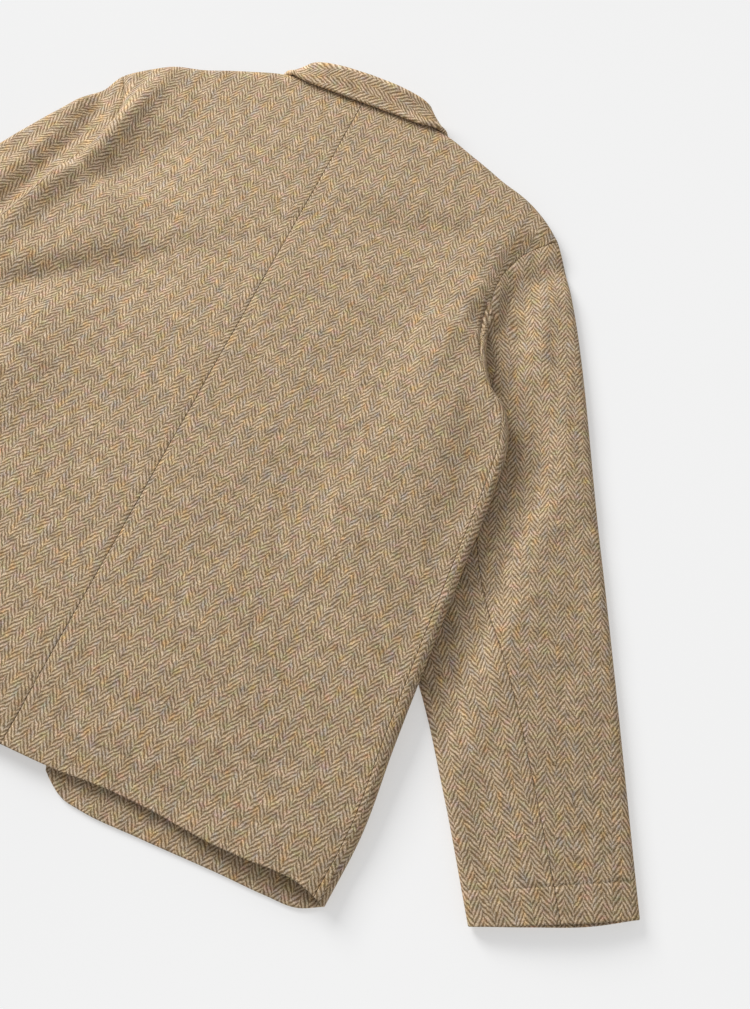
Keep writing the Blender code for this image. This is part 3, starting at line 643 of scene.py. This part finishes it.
# how wide the sleeve lies flat beside the body, and how wide it then takes to rise
VALLEYS = {1: (0.027, 0.032), -1: (0.021, 0.026)}
# creases of the upper layer, as for the back
SLEEVE_CREASES = [(0.262, 0.560, 118, 0.050, 0.010, 0.010, -0.0018),
                  (0.285, 0.500, 100, 0.060, 0.013, 0.013, -0.0014),
                  (0.330, 0.420, 125, 0.050, 0.014, 0.014, 0.0012),
                  (0.350, 0.340, 60, 0.045, 0.014, 0.014, -0.0015),
                  (0.385, 0.290, 110, 0.060, 0.014, 0.014, -0.0012),
                  (0.415, 0.210, 75, 0.045, 0.016, 0.016, 0.0012),
                  (0.450, 0.150, 118, 0.050, 0.014, 0.014, -0.0012),
                  (0.376, 0.120, 117, 0.080, 0.024, 0.016, -0.0032)]

sleeve_outer = smooth_at(SLEEVE_OUTER)
OUTER_LINE = sleeve_outer(np.linspace(0.0, 1.0, 41))
EDGE_LINE = {side: body_edge[side](np.linspace(0.0, 1.0, 61)) for side in (1, -1)}
SLEEVE_AXIS = unit(OUTER_LINE[-1] - OUTER_LINE[0])


def elbow_at(v):
    """Place across of the elbow seam, at a share of the sleeve's length."""
    return smooth_at([(s, w, 0.0) for s, w in ELBOW_SEAM])(v)[..., 0]


def sleeve_layer(side, is_upper, q, v):
    """Middle layer of one side of the flat sleeve, q across from its outer fold, v along."""
    share = 1 - q * (1 - UNDERARM)
    start_z = panel(side, is_upper, np.ones_like(share), share)[..., 2]
    edge = body_edge[side]
    along = unit(edge(share - 0.002) - edge(share + 0.002))
    out = np.stack([-along[..., 1], along[..., 0]], -1)
    outer, inner = sleeve_outer(v), sleeve_inner[side](v)
    q_, v_ = q[..., None], v[..., None]
    # the armhole's curve dies out along the sleeve, soonest at the inner fold
    bulge = edge(share) + out * SLEEVE_GAP - (1 - q_) * edge(1.0) - q_ * edge(UNDERARM)
    keep = (1 - v_) ** (1 + 24 * ease((q_ - 0.4) / 0.5))
    flare = smooth(CUFF)(q) - (1 - q_) * CUFF[0] - q_ * CUFF[-1]
    if is_upper:
        flare = flare - CUFF_DRAW * q_ * (1 - q_) ** 2 * SLEEVE_AXIS
    plan = (1 - q_) * outer + q_ * inner + keep * bulge + v_ ** 6 * flare
    x, y = plan[..., 0], plan[..., 1]
    gap, on = distance(x, y, EDGE_LINE[side])
    valley, bank = VALLEYS[side]
    outside = ease((np.where(on < 0, gap, -gap) - valley) / bank)
    edge_height = SLEEVE_EDGE + SLEEVE_BANK * outside + ridge(gap, *BODY_CLING)
    crown = edge_height + outside * SLEEVE_CROWN * np.sin(np.pi * np.clip(q, 0, 1)) ** 0.8
    from_edge = np.minimum(distance(x, y, OUTER_LINE)[0],
                           distance(x, y, TUCKED_LINE[side])[0])
    from_edge = from_edge * ((q > 1e-6) & (q < 1 - 1e-6))
    rise = np.sqrt(np.clip(1 - (1 - from_edge / SLEEVE_ROLL).clip(0, 1) ** 2, 0, 1))
    middle = edge_height / 2
    if is_upper:
        tube = middle + (crown - CLOTH / 2 - middle) * rise
        tube = tube + rise * outside * (creased(x, y, SLEEVE_CREASES)
                                        + uneven(x * side, y, *SLEEVE_WAVES))
        tube = tube - ridge((1 - v) * SLEEVE_LENGTH - HEM_FOLD, *CUFF_DIP)
    else:
        tube = middle - (middle - CLOTH / 2) * rise
    parted = SLEEVE_PARTS * rise * ease((q - 0.80) / 0.12) * (1 if is_upper else -1)
    settled = ease(v / (SETTLES[side] - SOONER * SETTLES[side] * ease((q - 0.8) / 0.2)))
    z = np.maximum((1 - settled) * (start_z + parted) + settled * tube, CLOTH / 2)
    return np.stack([x * side, y, z], -1)


def sleeve_map(points, side, fold):
    """Place on the flat cloth: round the sleeve from its folded column, and up from its cuff."""
    axis = np.array([SLEEVE_AXIS[0] * side, SLEEVE_AXIS[1], 0.0])
    outward = points @ (np.array([-axis[1], axis[0], 0.0]) * side)
    rises = np.diff(points[..., 2], axis=0) * ease((SLEEVE_ROWS - 0.05) / 0.10)
    steps = np.hypot(np.diff(outward, axis=0), rises)
    run = np.concatenate([np.zeros((1, steps.shape[1])), np.cumsum(steps, axis=0)])
    return np.stack([outward[fold] - (run - run[fold]), -(points @ axis)], -1)


CUFF_CLOSE = (0.567, 0.577)
SLEEVE_ROWS = places(SLEEVE_LENGTH, close=CUFF_CLOSE)
FOLD_PLACES = np.linspace(0.0, 1.0, 56)
FOLD_PLACES = 0.55 * FOLD_PLACES + 0.45 * FOLD_PLACES ** 2       # closer at the fold
SEAM_PLACES = np.concatenate([FOLD_PLACES[FOLD_PLACES < 0.95], [0.965, 0.978, 0.987, 0.993,
                                                                0.997, 1.0]])

for side in (1, -1):
    share, v = np.meshgrid(SEAM_PLACES, SLEEVE_ROWS, indexing="ij")
    elbow = elbow_at(v)
    top = np.concatenate([sleeve_layer(side, False, share * FOREARM, v)[::-1],
                          sleeve_layer(side, True, share * elbow, v)[1:]])
    share, v = np.meshgrid(SEAM_PLACES[::2] / SEAM_PLACES[::2].max(), SLEEVE_ROWS, indexing="ij")
    elbow = elbow_at(v)
    under = np.concatenate([sleeve_layer(side, True, 1 - share * (1 - elbow), v)[::-1],
                            sleeve_layer(side, False, 1 - share * (1 - FOREARM), v)[1:]])
    cuff = CUFF_PLY * turned_up((1 - SLEEVE_ROWS) * SLEEVE_LENGTH)[None, :]
    fold = len(SEAM_PLACES) - 1
    piece = cloth_piece("sleeve_top_cloth_" + NAMES[side], top, sleeve_map(top, side, fold),
                        CLOTH, tweed("tweed_sleeve_top_" + NAMES[side], *TOP_WEAVE),
                        "sleeve_top_" + NAMES[side], side, cuff)
    fold = len(SEAM_PLACES[::2]) - 1
    piece = cloth_piece("sleeve_under_cloth_" + NAMES[side], under, sleeve_map(under, side, fold),
                        CLOTH, tweed("tweed_sleeve_under_" + NAMES[side], *UNDER_WEAVE),
                        "sleeve_under_" + NAMES[side], side, cuff)

    # the cuff is felled like the hem
    share = np.linspace(0.03, 0.97, 26)
    height = np.full_like(share, 1 - HEM_FOLD / SLEEVE_LENGTH)
    caught = sleeve_layer(side, True, share, height)
    stitch_row("hem_stitches_cuff_" + NAMES[side], caught, *CUFF_STITCH, HEM_THREAD)

# ----------------------------------------------------------------------- collar
# A turned down collar in one strip round the neck: a stand sewn to the neckline, a
# soft fold, and a fall whose two layers are turned and pressed to a full, thick
# edge.  Its points lie under the fronts.
COLLAR_CLOTH = 0.0030   # thickness of the fall
COLLAR_ROLL = 0.0026    # middle layer radius of the fold
STAND_HEIGHT, FALL_DEPTH, COLLAR_PITCH = 0.022, 0.035, 0.0026    # the last for its rows
COLLAR_TILT, COLLAR_OUT = 0.018, 0.0008  # the fold lies out by this share of x and this much
COLLAR_PAINTED_LIGHT = 1.27     # painted light: the collar's cloth is made lighter than the rest, for the extra light it catches
BEAD_END, BEAD_FADE = 0.50, 0.10     # share round the neck where the edge goes under a front
# the pressed edge is fuller by a share of the thickness, this far in and over this width
BEAD_SHARE, BEAD_PLACE, BEAD_WIDTH = 0.55, 0.0024, 0.0020
# share of the way round the neck, x, y, z of the fold's centre, x, y, z of the edge
COLLAR = [(0.00, 0.0000, 0.7200, 0.0300, 0.0000, 0.7005, 0.0178),
          (0.20, 0.0340, 0.7190, 0.0290, 0.0360, 0.7005, 0.0178),
          (0.36, 0.0575, 0.7175, 0.0240, 0.0665, 0.7010, 0.0178),
          (0.45, 0.0650, 0.7165, 0.0180, 0.0825, 0.7045, 0.0162),
          (0.50, 0.0660, 0.7150, 0.0125, 0.0900, 0.7065, 0.0090),
          (0.56, 0.0615, 0.7105, 0.0078, 0.0960, 0.7000, 0.0032),
          (0.66, 0.0520, 0.7000, 0.0050, 0.1030, 0.6800, 0.0018),
          (0.80, 0.0330, 0.6830, 0.0043, 0.0920, 0.6400, 0.0017),
          (1.00, 0.0120, 0.6650, 0.0043, 0.0420, 0.5930, 0.0016)]
collar_line = smooth_at(COLLAR)


def collar_half(side, share):
    """Sections of half the collar, each from the neck seam over the fold to the edge."""
    neck = np.minimum(share, 1 - share) * 2 * NECK_SHARE
    ones = np.ones_like(share)
    seam = np.where((share < 0.5)[:, None], panel(side, True, neck, ones),
                    panel(side, False, neck, ones))
    mirror = np.array([side, 1, 1])
    fold, edge = (collar_line(share)[:, at] * mirror for at in (slice(0, 3), slice(3, 6)))
    fold = fold + np.outer(fold[:, 0] * COLLAR_TILT + COLLAR_OUT, (0.0, 1.0, 0.0))
    tangent = unit((collar_line(share + 0.01) - collar_line(share - 0.01))[:, :3] * mirror) * side
    up = unit(fold - (seam + edge) / 2)
    over = unit(np.cross(tangent, up))
    up = np.cross(over, tangent)
    inner, outer = fold - over * COLLAR_ROLL, fold + over * COLLAR_ROLL
    stand = [seam + (inner - seam) * t for t in places(STAND_HEIGHT, COLLAR_PITCH)[:-4]]
    turn = [fold + COLLAR_ROLL * (up * np.sin(t) - over * np.cos(t))
            for t in np.linspace(0.0, np.pi, 9)]
    fall = [outer + (edge - outer) * t for t in places(FALL_DEPTH, COLLAR_PITCH)[5:]]
    return np.stack([*stand, *turn, *fall], 1)


share = np.concatenate([np.linspace(0.0, 0.40, 26), np.linspace(0.40, 0.62, 34)[1:],
                        np.linspace(0.62, 0.99, 34)[1:], [0.993, 0.996, 0.998, 1.0]])
points = np.concatenate([collar_half(-1, share)[::-1], collar_half(1, share)[1:]])
run = grown(points, 0)
down = grown(points, 1)
collar_map = np.stack([down, run - run[len(run) // 2]], -1)
full = 1 - ease((np.concatenate([share[::-1], share[1:]]) - BEAD_END) / BEAD_FADE)
from_edge = down[:, -1:] - down
bead = full[:, None] * ridge(from_edge - BEAD_PLACE, BEAD_SHARE, BEAD_WIDTH)
# the collar's tweed is painted lighter, standing in for the extra light it catches
piece = cloth_piece("collar_cloth", points, collar_map, COLLAR_CLOTH * (1 + bead),
                    tweed("tweed_collar_painted_light", (0.0, 0.0), 0.0, COLLAR_PAINTED_LIGHT), "collar")

# ------------------------------------------------------- floor, light and camera
# A plain pale floor, broad light from all round and a low soft window at the upper left.
# The camera stands above the wearer's right side, tipped twenty degrees.
FLOOR_HALF, FLOOR_DEPTH = 3.0, 0.0004
# The floor's own faint light evens out the window's: its strength under the jacket, its
# rise for each metre along x and y, and two slopes whose product bends it at the corners.
GLOW, GLOW_WAY = 0.3135, (0.304, -0.133, 0.0)
GLOW_BENDS = ((-0.146, 0.162, 0.0), (1.0, 0.272, 0.0))

paper = bpy.data.materials.new("floor_paper")
paper.use_nodes = True
nodes, links = paper.node_tree.nodes, paper.node_tree.links
matt = nodes["Principled BSDF"]
matt.inputs["Base Color"].default_value = (0.55, 0.55, 0.55, 1)
matt.inputs["Roughness"].default_value = 0.9
matt.inputs["Specular IOR Level"].default_value = 0.0
matt.inputs["Emission Color"].default_value = (1.0, 1.0, 1.0, 1)
spot = nodes.new("ShaderNodeTexCoord")
slopes = []
for way in (GLOW_WAY, *GLOW_BENDS):
    slope = nodes.new("ShaderNodeVectorMath")
    slope.operation = "DOT_PRODUCT"
    links.new(spot.outputs["Object"], slope.inputs[0])
    slope.inputs[1].default_value = way
    slopes.append(slope.outputs["Value"])
bent = nodes.new("ShaderNodeMath")
bent.operation = "MULTIPLY_ADD"
links.new(slopes[1], bent.inputs[0])
links.new(slopes[2], bent.inputs[1])
bent.inputs[2].default_value = GLOW
level = nodes.new("ShaderNodeMath")
links.new(slopes[0], level.inputs[0])
links.new(bent.outputs[0], level.inputs[1])
held = nodes.new("ShaderNodeClamp")
links.new(level.outputs[0], held.inputs[0])
held.inputs["Min"].default_value = 0.10
held.inputs["Max"].default_value = 0.50
links.new(held.outputs[0], matt.inputs["Emission Strength"])

mesh = bmesh.new()
bmesh.ops.create_grid(mesh, x_segments=1, y_segments=1, size=FLOOR_HALF)
bmesh.ops.translate(mesh, vec=(0.0, 0.0, -FLOOR_DEPTH), verts=mesh.verts)
finished("floor", mesh, paper)

world = bpy.data.worlds.new("studio")
world.use_nodes = True
sky = world.node_tree.nodes["Background"]
sky.inputs[0].default_value = (1.0, 1.0, 1.0, 1)
sky.inputs[1].default_value = 0.44
bpy.context.scene.world = world


def stood(thing, right, up, back, place):
    """Put a lamp or camera at a place, facing away from back."""
    made = bpy.data.objects.new(thing.name, thing)
    bpy.context.collection.objects.link(made)
    turn = np.column_stack([right, up, back, place])
    made.matrix_world = Matrix([*turn.tolist(), [0, 0, 0, 1]])
    return made


WINDOW_PLACE, WINDOW_AIM = np.array([-1.68, 0.93, 1.32]), np.array([0.10, -0.05, 0.0])
lamp = bpy.data.lights.new("window", "AREA")
lamp.shape = "SQUARE"
lamp.size = 1.20
lamp.energy = 61.3
back = unit(WINDOW_PLACE - WINDOW_AIM)
right = unit(np.cross((0.0, 1.0, 0.0), back))
stood(lamp, right, np.cross(back, right), back, WINDOW_PLACE)

CAMERA_PLACE = (0.3270, 0.0181 - MIDDLE_Y, 0.9169)
CAMERA_RIGHT = np.array([0.9092, 0.4163, 0.0])
CAMERA_UP = np.array([-0.3912, 0.8544, 0.3420])
eye = bpy.data.cameras.new("camera")
eye.lens = 39.25
eye.sensor_width = 36.0
bpy.context.scene.camera = stood(eye, CAMERA_RIGHT, CAMERA_UP,
                                 np.cross(CAMERA_RIGHT, CAMERA_UP), CAMERA_PLACE)
bpy.context.scene.view_settings.view_transform = "Standard"
